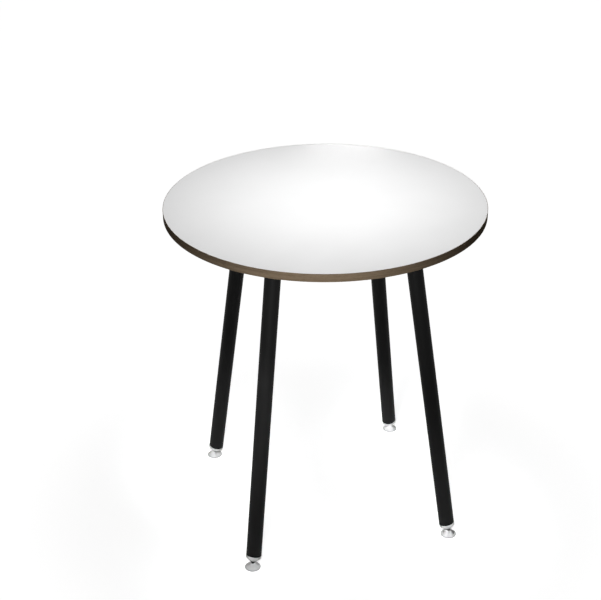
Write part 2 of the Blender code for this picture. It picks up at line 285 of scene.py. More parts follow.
    def close(self, colour: Socket, roughness: Socket, normal: Socket,
              **constants: float) -> bpy.types.Material:
        """Feed the material's shader and set its constant sockets.

        Args:
            colour: The base colour socket.
            roughness: The roughness value socket.
            normal: The normal socket.
            constants: Shader sockets by name, spaces written as underscores.

        Returns:
            The finished material.
        """
        inputs = self.tree.nodes["Principled BSDF"].inputs
        self.link(colour, inputs["Base Color"])
        self.link(roughness, inputs["Roughness"])
        self.link(normal, inputs["Normal"])
        for key, value in constants.items():
            inputs[key.replace("_", " ")].default_value = value
        return self.owner


def even(value: float) -> Triple:
    """Return a value three times, as an even scale or a grey."""
    return (value, value, value)


def tint(colour: Triple, factor: float) -> Triple:
    """Return a colour made lighter or darker by a factor."""
    return tuple(min(1.0, channel * factor) for channel in colour)


# Finishes

@dataclass(frozen=True)
class LaminateFinish:
    """Smooth pressed laminate: an even colour with a faint cloud, fine pores and light wear."""

    name: str
    colour: Triple
    gloss: Pair = (0.34, 0.44)
    cloud_scale: float = 9.0
    cloud_span: Pair = (0.30, 0.70)
    shades: Pair = (0.985, 1.0)
    pore_scale: float = 900.0
    pore_height: float = 0.00002
    scratch_scale: Triple = (14.0, 420.0, 14.0)
    scratch_span: Pair = (0.62, 0.70)
    specular: float = 0.35

    def build(self) -> bpy.types.Material:
        """Return the laminate as a material.

        Returns:
            The material.
        """
        graph = Graph.of_material(self.name)
        cloud = graph.noise(even(self.cloud_scale), detail=2.0)
        colour = graph.shaded(cloud, self.cloud_span, self.colour, self.shades)
        pores = graph.noise(even(self.pore_scale), detail=2.0)
        worn = graph.spread(graph.noise(self.scratch_scale, detail=1.0), self.scratch_span)
        wear = (self.gloss[1] - self.gloss[0]) / 2
        roughness = graph.combine("MULTIPLY_ADD", worn, wear,
                                  graph.spread(cloud, self.cloud_span, self.gloss))
        normal = graph.bump(pores, self.pore_height, strength=0.5)
        return graph.close(colour, roughness, normal, Specular_IOR_Level=self.specular)


@dataclass(frozen=True)
class OakEdgeFinish:
    """Dark oak edge band: fine streaks and pores that run along the edge, in warm greys."""

    name: str = "dark_oak_edge_band"
    light: Triple = (0.250, 0.186, 0.124)
    middle: Triple = (0.190, 0.141, 0.093)
    dark: Triple = (0.118, 0.086, 0.055)
    pore: Triple = (0.060, 0.043, 0.028)
    streak_scale: Triple = (5.0, 5.0, 330.0)
    fibre_scale: Triple = (22.0, 22.0, 1500.0)
    figure_scale: Triple = (3.0, 3.0, 60.0)
    pore_scale: Triple = (70.0, 70.0, 1300.0)
    span: Pair = (0.3, 0.7)
    streak_places: Triple = (0.32, 0.50, 0.68)
    fibre_tints: Pair = (0.72, 1.05)
    figure_places: Pair = (0.35, 0.65)
    figure_tint: float = 0.85
    pore_span: Pair = (0.60, 0.68)
    fibre_share: Pair = (0.25, 0.45)
    figure_share: Pair = (0.15, 0.35)
    pore_share: Pair = (0.0, 0.65)
    gloss_span: Pair = (0.2, 0.8)
    gloss: Pair = (0.75, 0.90)
    relief: float = 0.00006
    specular: float = 0.02

    def build(self) -> bpy.types.Material:
        """Return the wood-look band as a material.

        Returns:
            The material.
        """
        graph = Graph.of_material(self.name)
        streaks = graph.noise(self.streak_scale, detail=4.0, roughness=0.55, distortion=0.4)
        fibres = graph.noise(self.fibre_scale, detail=3.0, roughness=0.6)
        figure = graph.noise(self.figure_scale, detail=2.0, distortion=0.8)
        broad = graph.ramp(streaks, self.streak_places, (self.dark, self.middle, self.light))
        fine = graph.ramp(fibres, self.span, (tint(self.middle, self.fibre_tints[0]),
                                              tint(self.light, self.fibre_tints[1])))
        shade = graph.ramp(figure, self.figure_places,
                           (tint(self.middle, self.figure_tint), self.light))
        colour = graph.mix(graph.spread(figure, self.span, self.fibre_share), broad, fine)
        colour = graph.mix(graph.spread(streaks, self.span, self.figure_share), colour, shade)
        pores = graph.spread(graph.noise(self.pore_scale, detail=2.0), self.pore_span,
                             self.pore_share)
        colour = graph.mix(pores, colour, graph.shaded(pores, (0.0, 1.0), self.pore, (1.0, 1.0)))
        roughness = graph.spread(fibres, self.gloss_span, self.gloss)
        normal = graph.bump(fibres, self.relief, strength=0.5)
        normal = graph.bump(pores, -self.relief, strength=0.8, onto=normal)
        return graph.close(colour, roughness, normal, Specular_IOR_Level=self.specular)


@dataclass(frozen=True)
class PowderCoatFinish:
    """Matte black powder coat: a fine pebbled skin with slight shade differences."""

    name: str = "matte_black_powder_coat"
    colour: Triple = (0.0098, 0.0098, 0.0098)
    shades: Pair = (0.92, 1.10)
    pebble_scale: float = 1700.0
    pebble_height: float = 0.00003
    pebble_span: Pair = (0.25, 0.75)
    patch_scale: float = 14.0
    patch_span: Pair = (0.30, 0.70)
    gloss: Pair = (0.50, 0.62)
    specular: float = 0.05

    def build(self) -> bpy.types.Material:
        """Return the powder coat as a material.

        Returns:
            The material.
        """
        graph = Graph.of_material(self.name)
        patches = graph.noise(even(self.patch_scale))
        colour = graph.shaded(patches, self.patch_span, self.colour, self.shades)
        pebbles = graph.noise(even(self.pebble_scale), detail=2.0, roughness=0.6)
        roughness = graph.spread(pebbles, self.pebble_span, self.gloss)
        normal = graph.bump(pebbles, self.pebble_height, strength=0.6)
        return graph.close(colour, roughness, normal, Specular_IOR_Level=self.specular)


@dataclass(frozen=True)
class MetalFinish:
    """Turned or plated metal: fine rings from the lathe, light mottling, maybe a painted line of
    shade.
    """

    name: str
    colour: Triple
    metallic: float
    gloss: Pair
    turning_scale: Triple = (30.0, 30.0, 2600.0)
    turning_height: float = 0.000006
    mottle_scale: float = 160.0
    mottle_span: Pair = (0.25, 0.75)
    shades: Pair = (0.95, 1.04)
    specular: float = 0.5
    # Painted shade: heights on the piece's own Z over which the colour darkens, and how dark it
    # gets.
    painted_shade_heights: Pair | None = None
    painted_shade_factor: float = 0.45
    painted_shade_tones: Pair = (0.9, 1.1)

    def build(self) -> bpy.types.Material:
        """Return the metal as a material, darkened by a painted line of shade where heights are
        given.

        Returns:
            The material.
        """
        graph = Graph.of_material(self.name)
        mottle = graph.noise(even(self.mottle_scale))
        colour = graph.shaded(mottle, self.mottle_span, self.colour, self.shades)
        # Painted shade: the colour is darkened over a band of heights on the piece's own Z.
        if self.painted_shade_heights is not None:
            painted_shade_colour = graph.shaded(mottle, self.mottle_span, tint(self.colour, self.painted_shade_factor),
                                 self.painted_shade_tones)
            share = graph.spread(graph.height(), self.painted_shade_heights, (1.0, 0.0))
            colour = graph.mix(share, colour, painted_shade_colour)
        rings = graph.noise(self.turning_scale, detail=1.0)
        roughness = graph.spread(mottle, self.mottle_span, self.gloss)
        normal = graph.bump(rings, self.turning_height, strength=0.5)
        return graph.close(colour, roughness, normal, Metallic=self.metallic,
                           Specular_IOR_Level=self.specular)


@dataclass(frozen=True)
class ParticleBoardFinish:
    """Pressed wood chips in a range of straw and brown tones."""

    name: str = "pressed_particle_board"
    tones: tuple[Triple, ...] = ((0.30, 0.19, 0.10), (0.47, 0.33, 0.18), (0.62, 0.47, 0.29))
    chip_scale: Triple = (260.0, 260.0, 900.0)
    tone_places: Triple = (0.1, 0.5, 0.9)
    grain_fineness: float = 2.0
    grain_span: Pair = (0.2, 0.8)
    gloss: Pair = (0.75, 0.95)
    relief: float = 0.0002

    def build(self) -> bpy.types.Material:
        """Return the board as a material.

        Returns:
            The material.
        """
        graph = Graph.of_material(self.name)
        chips = graph.add("ShaderNodeTexVoronoi", Scale=1.0)
        graph.link(graph.place(self.chip_scale), chips.inputs["Vector"])
        grain = graph.noise(tuple(self.grain_fineness * scale for scale in self.chip_scale))
        colour = graph.ramp(chips.outputs["Color"], self.tone_places, self.tones)
        roughness = graph.spread(grain, self.grain_span, self.gloss)
        normal = graph.bump(chips.outputs["Distance"], self.relief, strength=0.5)
        return graph.close(colour, roughness, normal)


@dataclass(frozen=True)
class NylonFinish:
    """Moulded nylon: a waxy, slightly cloudy black."""

    name: str = "moulded_black_nylon"
    colour: Triple = (0.022, 0.022, 0.022)
    shades: Pair = (0.94, 1.0)
    cloud_scale: float = 220.0
    span: Pair = (0.3, 0.7)
    gloss: Pair = (0.38, 0.5)
    relief: float = 0.00002

    def build(self) -> bpy.types.Material:
        """Return the nylon as a material.

        Returns:
            The material.
        """
        graph = Graph.of_material(self.name)
        cloud = graph.noise(even(self.cloud_scale))
        colour = graph.shaded(cloud, self.span, self.colour, self.shades)
        roughness = graph.spread(cloud, self.span, self.gloss)
        return graph.close(colour, roughness, graph.bump(cloud, self.relief, strength=0.4))


@dataclass(frozen=True)
class FeltFinish:
    """Pressed felt: a fuzzy mat of light and dark fibres."""

    name: str = "pressed_grey_felt"
    colour: Triple = (0.16, 0.16, 0.16)
    shades: Pair = (0.6, 1.5)
    fibre_scale: float = 1400.0
    fibre_span: Pair = (0.3, 0.7)
    tuft_scale: float = 380.0
    tuft_span: Pair = (0.2, 0.8)
    gloss: Pair = (0.85, 1.0)
    relief: float = 0.0003
    sheen: float = 0.4

    def build(self) -> bpy.types.Material:
        """Return the felt as a material.

        Returns:
            The material.
        """
        graph = Graph.of_material(self.name)
        fibres = graph.noise(even(self.fibre_scale), detail=4.0, roughness=0.7, distortion=1.5)
        tufts = graph.noise(even(self.tuft_scale), detail=2.0)
        colour = graph.shaded(fibres, self.fibre_span, self.colour, self.shades)
        roughness = graph.spread(tufts, self.tuft_span, self.gloss)
        normal = graph.bump(fibres, self.relief, strength=0.7)
        return graph.close(colour, roughness, normal, Sheen_Weight=self.sheen)


class FinishShelf:
    """Builds each finish once and hands it to the pieces."""

    def __init__(self) -> None:
        """Build every finish of the table."""
        # Painted shade: a dark line round the glide's lower rim stands in for the shade there.
        satin_grey = MetalFinish("satin_grey_coat", (0.62, 0.62, 0.62), 0.0, (0.50, 0.60),
                                 specular=0.12, painted_shade_heights=(-0.0115, -0.0090))
        # Painted shade: a copy of the grey, darkened at the collar's lower end where the cone stands
        # in shade.
        collar_grey_shaded = replace(satin_grey, name="satin_grey_collar_shaded_coat",
                              painted_shade_heights=(0.0135, 0.0160), painted_shade_factor=0.08)
        zinc = MetalFinish("bright_zinc_plate", (0.60, 0.61, 0.60), 1.0, (0.26, 0.38))
        black_steel = MetalFinish("black_oxide_steel", (0.016, 0.016, 0.016), 0.0, (0.50, 0.60),
                                  specular=0.10)
        white = LaminateFinish("white_laminate_face", (0.86, 0.86, 0.86))
        backing = LaminateFinish("pale_backing_face", (0.74, 0.74, 0.73), gloss=(0.5, 0.6))
        finishes = {
            Slot.WHITE_LAMINATE: white,
            Slot.BACKING_LAMINATE: backing,
            Slot.PARTICLE_BOARD: ParticleBoardFinish(),
            Slot.DARK_OAK_EDGE: OakEdgeFinish(),
            Slot.BLACK_POWDER_COAT: PowderCoatFinish(),
            Slot.ZINC_PLATED_STEEL: zinc,
            Slot.SATIN_GREY_METAL: satin_grey,
            Slot.BLACK_STEEL: black_steel,
            Slot.BLACK_NYLON: NylonFinish(),
            Slot.GREY_FELT: FeltFinish(),
        }
        self.materials = {slot: finish.build() for slot, finish in finishes.items()}
        self.collar_coat = collar_grey_shaded.build()

    def dress(self, item: bpy.types.Object, slot: Slot) -> None:
        """Give a piece its finish, in place of any finish it had.

        Args:
            item: The piece or CAD node.
            slot: The slot that its finish belongs to.
        """
        item.data.materials.clear()
        item.data.materials.append(self.materials[slot])


# Mesh forms

def at_angle(radius: float, angle: float, height: float = 0.0) -> Vector:
    """Return the point at a radius, an angle round Z and a height."""
    return Vector((radius * math.cos(angle), radius * math.sin(angle), height))


def full_turn(segments: int) -> list[float]:
    """Return evenly spaced angles round a full turn."""
    return [math.tau * index / segments for index in range(segments)]


def turned(profile: Profile, segments: int, closed: bool = False) -> Solid:
    """Spin a profile once round Z.

    Args:
        profile: Points of radius and height, in order along the outline.
        segments: Facets round the piece.
        closed: Whether the outline returns to its start, as on a ring.

    Returns:
        The turned solid.
    """
    solid = bmesh.new()
    verts = [solid.verts.new((radius, 0.0, height)) for radius, height in profile]
    edges = [solid.edges.new(pair) for pair in zip(verts, verts[1:])]
    if closed:
        edges.append(solid.edges.new((verts[-1], verts[0])))
    bmesh.ops.spin(solid, geom=verts + edges, cent=(0, 0, 0), axis=(0, 0, 1),
                   angle=math.tau, steps=segments, use_merge=True)
    bmesh.ops.remove_doubles(solid, verts=solid.verts, dist=MILLIMETRE / 1000)
    return solid


def rounded(corner: Pair, before: Pair, after: Pair, radius: float, steps: int = 4) -> Profile:
    """Return points that round one corner of a profile.

    Args:
        corner: The sharp corner.
        before: The profile's point before it.
        after: The profile's point after it.
        radius: Distance from the corner at which the rounding starts.
        steps: Number of chords in the rounding.

    Returns:
        Points on a smooth curve past the corner.
    """
    tip = Vector(corner)
    start = tip + (Vector(before) - tip).normalized() * radius
    end = tip + (Vector(after) - tip).normalized() * radius
    points = []
    for step in range(steps + 1):
        share = step / steps
        point = start * (1 - share) ** 2 + tip * 2 * share * (1 - share) + end * share ** 2
        points.append(tuple(point))
    return points


def with_rounded_corners(profile: Profile, radii: dict[int, float]) -> Profile:
    """Return a profile with some of its corners rounded.

    Args:
        profile: Points of radius and height.
        radii: The rounding at each corner, by its place in the profile.

    Returns:
        The finer profile.
    """
    points = []
    for index, corner in enumerate(profile):
        if index in radii:
            after = profile[(index + 1) % len(profile)]
            points += rounded(corner, profile[index - 1], after, radii[index])
        else:
            points.append(corner)
    return points


def arc(radius: float, start: float, end: float, steps: int) -> Profile:
    """Return points on a circle about the origin, from one angle to another."""
    angles = [start + (end - start) * step / steps for step in range(steps + 1)]
    return [tuple(at_angle(radius, angle).xy) for angle in angles]


def skin(loops: Sequence[Sequence[Vector]], capped: bool = False) -> Solid:
    """Join loops of points into a closed skin.

    Args:
        loops: Loops with the same number of points, in the same order.
        capped: Whether flat faces close the ends, or else the last loop joins the first.

    Returns:
        The solid's mesh.
    """
    solid = bmesh.new()
    rings = [[solid.verts.new(point) for point in loop] for loop in loops]
    followers = rings[1:] if capped else rings[1:] + rings[:1]
    for ring, following in zip(rings, followers):
        for index, vert in enumerate(ring):
            after = (index + 1) % len(ring)
            solid.faces.new((vert, ring[after], following[after], following[index]))
    if capped:
        solid.faces.new(rings[0])
        solid.faces.new(rings[-1])
    return solid


@dataclass(frozen=True)
class Row:
    """One ring of a shaft: its height and its radius as a function of the angle."""

    height: float
    radius: RadiusAt


def plain_rows(*rings: Pair) -> list[Row]:
    """Return round rings from their heights and radii."""
    return [Row(height, lambda angle, radius=radius: radius) for height, radius in rings]


def shaft(rows: Sequence[Row], segments: int) -> Solid:
    """Return a closed shaft through rings of any outline, each with so many points."""
    return skin([[at_angle(row.radius(angle), angle, row.height)
                  for angle in full_turn(segments)] for row in rows], capped=True)


def hexagon(across_flats: float, limit: float) -> RadiusAt:
    """Return a hexagon's radius function, its corners turned off at a limit.

    Args:
        across_flats: Distance between opposite flats.
        limit: Largest radius at this height.

    Returns:
        The radius as a function of the angle.
    """
    sector = math.pi / 3

    def radius(angle: float) -> float:
        """Return the radius at an angle."""
        offset = (angle + sector / 2) % sector - sector / 2
        return min(limit, across_flats / 2 / math.cos(offset))

    return radius


def thread_rows(start: float, end: float, root: float, crest: float, pitch: float,
                steps: int = 8, flat: float = 0.1) -> list[Row]:
    """Return the rings of a helical thread that grows and fades over one turn at its ends.

    Args:
        start: Height of the first ring.
        end: Height of the last ring.
        root: Radius at the bottom of the groove.
        crest: Radius over the crests.
        pitch: Height of one turn.
        steps: Rings in one turn.
        flat: How much of each crest and groove is cut flat.

    Returns:
        The rings, in order.
    """
    count = max(2, round(abs(end - start) / pitch * steps))
    rows = []
    for index in range(count + 1):
        height = start + (end - start) * index / count
        inside = min(abs(height - start), abs(height - end)) / pitch
        depth = (crest - root) * min(1.0, inside)

        def radius(angle: float, height: float = height, depth: float = depth) -> float:
            """Return the radius at an angle of this ring."""
            phase = (height / pitch - angle / math.tau) % 1.0
            flank = abs(2 * phase - 1)
            return root + depth * min(1.0, max(0.0, (1 + 2 * flat) * flank - flat))

        rows.append(Row(height, radius))
    return rows


def circle(axes: Matrix, radius: float, height: float, segments: int) -> list[Vector]:
    """Return points on a circle round the Z of some axes."""
    return [axes @ at_angle(radius, angle, height) for angle in full_turn(segments)]


def circle_on_plane(axes: Matrix, radius: float, plane: Matrix,
                    segments: int) -> list[Vector]:
    """Return points where a round bar along the Z of some axes crosses a plane.

    Args:
        axes: The bar's axes.
        radius: The bar's radius.
        plane: Axes whose XY plane is the one that the bar crosses.
        segments: Number of points.

    Returns:
        The points, in the space in which both axes are given.
    """
    to_plane = plane.inverted() @ axes
    rise = to_plane.to_3x3().col[2].z
    return [axes @ (point - Vector((0.0, 0.0, (to_plane @ point).z / rise)))
            for point in circle(Matrix(), radius, 0.0, segments)]


def set_out(name: str, data: bpy.types.ID) -> bpy.types.Object:
    """Return a new object that is set out in the scene.

    Args:
        name: The object's name.
        data: Its mesh, lamp or camera.

    Returns:
        The object.
    """
    item = bpy.data.objects.new(name, data)
    bpy.context.scene.collection.objects.link(item)
    return item


def as_object(name: str, solid: Solid) -> bpy.types.Object:
    """Return an object made of a solid with its faces turned outward.

    Args:
        name: The name of the object and of its mesh.
        solid: The solid, which is freed.

    Returns:
        The object.
    """
    bmesh.ops.recalc_face_normals(solid, faces=solid.faces)
    mesh = bpy.data.meshes.new(name)
    solid.to_mesh(mesh)
    solid.free()
    return set_out(name, mesh)


# Sub-assemblies

@dataclass
class Assembly:
    """A sub-assembly, whose pieces take their finishes from a shelf."""

    shelf: FinishShelf

    def make(self, name: str, solid: Solid, place: Matrix, body: str, nodes: Sequence[str],
             slot: Slot, sharp_degrees: float = 30.0) -> bpy.types.Object:
        """Turn a solid into a smooth-shaded, dressed piece that rides on a body.

        Args:
            name: The piece's name.
            solid: The mesh in the piece's own axes, which is freed.
            place: Where the piece's axes are.
            body: The CAD body that it moves with.
            nodes: CAD nodes that it replaces.
            slot: Its finish.
            sharp_degrees: Edges bent further than this stay crisp.

        Returns:
            The new piece.
        """
        item = as_object(name, solid)
        item.data.shade_smooth()
        item.data.set_sharp_from_angle(angle=math.radians(sharp_degrees))
        item.matrix_world = place
        bpy.context.view_layer.update()
        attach(item, body)
        if nodes:
            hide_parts(*nodes)
        self.shelf.dress(item, slot)
        LOG.info("made %s on body %s", name, body)
        return item


@dataclass
class Tabletop(Assembly):
    """The round top: white laminate, particle board core, backing and dark oak edge band."""

    segments: int = 288
    arris: float = 0.0005
    laminate_arris: float = 0.0001
    glue_share: float = 0.1
    band_box: tuple[Vector, Vector] = field(default_factory=lambda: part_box("edge_band"))

    @property
    def board_radius(self) -> float:
        """Radius of the board and of its laminates."""
        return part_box("top_laminate")[1].y

    def build(self) -> None:
        """Make the four layers of the top."""
        self.build_face("white_top", "top_laminate", Slot.WHITE_LAMINATE)
        self.build_face("backing_sheet", "backing_laminate", Slot.BACKING_LAMINATE)
        self.build_edge_band()
        self.shelf.dress(frame["nodes"]["tabletop_core"], Slot.PARTICLE_BOARD)
        LOG.info("dressed tabletop_core")

    def build_face(self, name: str, node: str, slot: Slot) -> None:
        """Make one laminate sheet in the place of its CAD node.

        Args:
            name: The piece's name.
            node: The CAD node that it replaces.
            slot: Its finish.
        """
        low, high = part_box(node)
        edge = self.board_radius
        profile = [(0.0, high.z), (edge / 2, high.z), (edge, high.z), (edge, low.z),
                   (edge / 2, low.z), (0.0, low.z)]
        profile = with_rounded_corners(profile, {2: self.laminate_arris, 3: self.laminate_arris})
        self.make(name, turned(profile, self.segments), Matrix(), "root", [node], slot)

    def build_edge_band(self) -> None:
        """Make the edge band with its softened arrises, its inner side touching the board."""
        low, high = self.band_box[0].z, self.band_box[1].z
        outer = self.band_box[1].y
        inner = self.board_radius + (outer - self.board_radius) * self.glue_share
        profile = [(inner, high), (outer, high), (outer, low), (inner, low)]
        profile = with_rounded_corners(profile, {1: self.arris, 2: self.arris})
        self.make("oak_edge_band", turned(profile, self.segments, closed=True), Matrix(),
                  "root", ["edge_band"], Slot.DARK_OAK_EDGE, sharp_degrees=60.0)


def middle_of(points: Sequence[Vector]) -> Vector:
    """Return the middle of the box round some points."""
    low, high = (Vector(map(limit, zip(*points))) for limit in (min, max))
    return (low + high) / 2


def leaning_axes(place: Vector, azimuth: float, lean: float) -> Matrix:
    """Return axes at a place, +X turned to an azimuth and +Z leaning back from it."""
    return (Matrix.Translation(place) @ Matrix.Rotation(azimuth, 4, "Z")
            @ Matrix.Rotation(-lean, 4, "Y"))


@dataclass(frozen=True)
class LegPlace:
    """Where one leg and its foot stand, read from the frame."""

    corner: Corner

    @property
    def joint(self) -> dict:
        """The frame's record of the leg's thread joint."""
        return next(joint for joint in frame["joints"]
                    if joint["name"] == f"thread_{self.corner.value}")

    @property
    def ball(self) -> Vector:
        """Centre of the swivel ball."""
        return Vector(self.joint["pos_m"])

    @property
    def tube_ends(self) -> tuple[Vector, Vector]:
        """Middles of the CAD tube's lower and upper ends."""
        tube = frame["nodes"][f"leg_tube_{self.corner.value}"]
        points = [Vector(vert.co) for vert in tube.data.vertices]
        halfway = sum(point.z for point in points) / len(points)
        lower = [point for point in points if point.z < halfway]
        upper = [point for point in points if point.z > halfway]
        return middle_of(lower), middle_of(upper)

    @property
    def azimuth(self) -> float:
        """Direction in which the leg leans outward, about Z."""
        return math.atan2(self.ball.y, self.ball.x)

    @property
    def tube_lean(self) -> float:
        """Angle between the tube and the vertical."""
        lower, upper = self.tube_ends
        return (upper - lower).angle((0.0, 0.0, 1.0))

    @property
    def foot_lean(self) -> float:
        """Angle between the foot and the vertical."""
        return (-Vector(self.joint["axis"])).angle((0.0, 0.0, 1.0))

    @property
    def tube_axes(self) -> Matrix:
        """Axes at the middle of the tube's lower end, +Z up the tube and +X outward."""
        return leaning_axes(self.tube_ends[0], self.azimuth, self.tube_lean)

    @property
    def foot_axes(self) -> Matrix:
        """Axes at the ball's centre, +Z up the stem and +X outward."""
        return leaning_axes(self.ball, self.azimuth, self.foot_lean)

    @property
    def glide_axes(self) -> Matrix:
        """Axes at the ball's centre, +Z vertical and +X outward."""
        return leaning_axes(self.ball, self.azimuth, 0.0)


@dataclass
class LegAssembly(Assembly):
    """A sub-assembly that stands at one leg."""

    place: LegPlace
    tube_radius: float = 0.025

    def named(self, kind: str) -> str:
        """Return the name of this leg's piece or node of a kind."""
        return f"{kind}_{self.place.corner.value}"

    def along(self, node: str, axes: Matrix) -> Pair:
        """Return the lowest and highest place of a CAD node along the Z of some axes.

        Args:
            node: The CAD node's name.
            axes: The axes, in world space.

        Returns:
            The two heights.
        """
        inward = axes.inverted()
        heights = [(inward @ Vector(vert.co)).z for vert in frame["nodes"][node].data.vertices]
        return min(heights), max(heights)


@dataclass
class Leg(LegAssembly):
    """A black tube leg with its weld and mounting plate."""

    tube_wall: float = 0.002
    tube_segments: int = 96
    tube_arris: float = 0.0004
    plate_side: float = 0.120
    plate_corner: float = 0.012
    plate_corner_steps: int = 8
    plate_arris: float = 0.0005
    weld_width: float = 0.0042
    weld_ripples: int = 46
    weld_ripple_depth: float = 0.00035
    weld_segments: int = 368
    weld_steps: int = 6

    def build(self) -> None:
        """Make the tube, the plate and the weld."""
        self.build_tube()
        self.build_plate()
        self.build_weld()

    @property
    def plate_bottom(self) -> float:
        """Height of the plate's lower face, just above the tube's mitred top."""
        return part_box(self.named("leg_tube"))[1].z + SEAT_GAP

    @property
    def plate_axes(self) -> Matrix:
        """Axes on the plate's lower face, in the middle of the tube."""
        low, high = self.place.tube_ends
        along = high - low
        middle = low + along * ((self.plate_bottom - low.z) / along.z)
        return leaning_axes(middle, self.place.azimuth, 0.0)

    def build_tube(self) -> None:
        """Make the tube, mitred flat under the plate and square to the foot below."""
        low, high = self.place.tube_ends
        top = (high - low).length
        slope = math.tan(self.place.tube_lean)
        foot_slope = math.tan(self.place.foot_lean - self.place.tube_lean)
        inner = self.tube_radius - self.tube_wall
        profile = [(inner, top), (self.tube_radius, top), (self.tube_radius, 0.0), (inner, 0.0)]
        profile = with_rounded_corners(profile, {2: self.tube_arris, 3: self.tube_arris})
        solid = turned(profile, self.tube_segments, closed=True)
        for vert in solid.verts:
            vert.co.z += vert.co.x * (-slope if vert.co.z > top / 2 else foot_slope)
        self.make(self.named("tube"), solid, self.place.tube_axes, "root",
                  [self.named("leg_tube")], Slot.BLACK_POWDER_COAT)

    def build_plate(self) -> None:
        """Make the square plate with rounded corners and softened arrises."""
        node = self.named("mounting_plate")
        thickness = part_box(node)[1].z - self.plate_bottom
        half = self.plate_side / 2 - self.plate_corner
        quarter = math.pi / 2
        solid = bmesh.new()
        verts = []
        for turn in full_turn(4):
            middle = at_angle(half, turn) + at_angle(half, turn + quarter)
            verts += [solid.verts.new(middle + Vector((x, y, 0.0))) for x, y in
                      arc(self.plate_corner, turn, turn + quarter, self.plate_corner_steps)]
        raised = bmesh.ops.extrude_face_region(solid, geom=[solid.faces.new(verts)])
        upper = [item for item in raised["geom"] if isinstance(item, bmesh.types.BMVert)]
        bmesh.ops.translate(solid, verts=upper, vec=(0, 0, thickness))
        rims = [edge for edge in solid.edges
                if abs(edge.verts[0].co.z - edge.verts[1].co.z) < MILLIMETRE / 10]
        bmesh.ops.bevel(solid, geom=rims, offset=self.plate_arris, segments=2,
                        affect="EDGES", profile=0.5)
        self.make(self.named("plate"), solid, self.plate_axes, "root", [node],
                  Slot.BLACK_POWDER_COAT)

    def build_weld(self) -> None:
        """Make the rippled bead of weld between the tube and the plate."""
        lean = self.place.tube_lean
        stretch = Matrix.Diagonal((1 / math.cos(lean), 1.0, 1.0))
        angles = full_turn(self.weld_segments)
        widths = [self.weld_width
                  - self.weld_ripple_depth * abs(math.sin(self.weld_ripples * angle / 2))
                  for angle in angles]
        loops = []
        for step in range(self.weld_steps + 1):
            share = math.pi / 2 * step / self.weld_steps
            loop = []
            for angle, width in zip(angles, widths):
                drop = width * (1 - math.cos(share))
                reach = self.tube_radius + width * (1 - math.sin(share))
                shift = Vector((drop * math.tan(lean), 0.0, 0.0))
                loop.append(stretch @ at_angle(reach, angle, -drop) + shift)
            loops.append(loop)
        loops.append([stretch @ at_angle(self.tube_radius, angle) for angle in angles])
        self.make(self.named("weld"), skin(loops), self.plate_axes, "root", [],
                  Slot.BLACK_POWDER_COAT, sharp_degrees=75.0)


@dataclass
class PlateScrews(Assembly):
    """Pan-head chipboard screws with a cross recess and a coarse thread, cut once and copied."""

    head_radius: float = 0.0050
    head_height: float = 0.0030
    head_flat: float = 0.45
    head_dome: float = 0.85
    head_steps: int = 8
    shank_radius: float = 0.00235
    root_radius: float = 0.0016
    pitch: float = 0.0022
    thread_start: float = 0.0005
    point_length: float = 0.004
    point_radius: float = 0.0001
    recess_width: float = 0.0011
    recess_reach: float = 0.0024
    recess_depth: float = 0.0018
    recess_taper: float = 0.45
    segments: int = 32
    pattern: bpy.types.Mesh | None = None

    def build(self, node: str) -> None:
        """Set one screw in the place of its CAD node.

        Args:
            node: The screw's node.
        """
        low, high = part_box(node)
        if self.pattern is None:
            self.pattern = self.cut_pattern(high.z - low.z)
        solid = bmesh.new()
        solid.from_mesh(self.pattern)
        middle = (low + high) / 2
        place = Matrix.Translation((middle.x, middle.y, low.z))
        self.make(node.replace("plate_screw", "pan_head_screw"), solid, place, "root", [node],
                  Slot.ZINC_PLATED_STEEL)

    def turned_blank(self, length: float) -> Solid:
        """Return the screw before its recess is cut, head down and point up.

        Args:
            length: The screw's length with its head.

        Returns:
            The blank's mesh.
        """
        turns = [math.pi / 2 * step / self.head_steps for step in range(self.head_steps + 1)]
        dome = [(self.head_height * self.head_dome * (1 - math.cos(turn)),
                 self.head_radius * (self.head_flat + (1 - self.head_flat) * math.sin(turn)))
                for turn in turns]
        rows = plain_rows(*dome, (self.head_height, self.head_radius),
                          (self.head_height, self.shank_radius))
        rows += thread_rows(self.head_height + self.thread_start, length - self.point_length,
                            self.root_radius, self.shank_radius, self.pitch)
        rows += plain_rows((length, self.point_radius))
        return shaft(rows, self.segments)

    def recess_bar(self, turn: float) -> Solid:
        """Return one tapered bar of the cross recess.

        Args:
            turn: The bar's angle about the screw's axis.

        Returns:
            The bar's mesh.
        """
        bar = bmesh.new()
        bmesh.ops.create_cube(bar, size=1.0)
        for vert in bar.verts:
            deep = vert.co.z > 0
            reach = self.recess_reach * (self.recess_taper if deep else 1.0)
            vert.co = Vector((vert.co.x * 2 * reach, vert.co.y * self.recess_width,
                              self.recess_depth if deep else -MILLIMETRE))
        bmesh.ops.rotate(bar, verts=bar.verts, matrix=Matrix.Rotation(turn, 3, "Z"))
        return bar

    def cut_pattern(self, length: float) -> bpy.types.Mesh:
        """Return the screw's mesh with the cross recess cut into its head.

        Args:
            length: The screw's length with its head.

        Returns:
            The pattern that every screw copies.
        """
        screw = as_object("screw_blank", self.turned_blank(length))
        cutters = [as_object("recess_bar", self.recess_bar(turn)) for turn in (0.0, math.pi / 2)]
        for cutter in cutters:
            modifier = screw.modifiers.new("recess", "BOOLEAN")
            modifier.operation = "DIFFERENCE"
            modifier.object = cutter
        bpy.context.view_layer.update()
        evaluated = screw.evaluated_get(bpy.context.evaluated_depsgraph_get())
        pattern = bpy.data.meshes.new_from_object(evaluated)
        for item in (screw, *cutters):
            bpy.data.objects.remove(item, do_unlink=True)
        return pattern


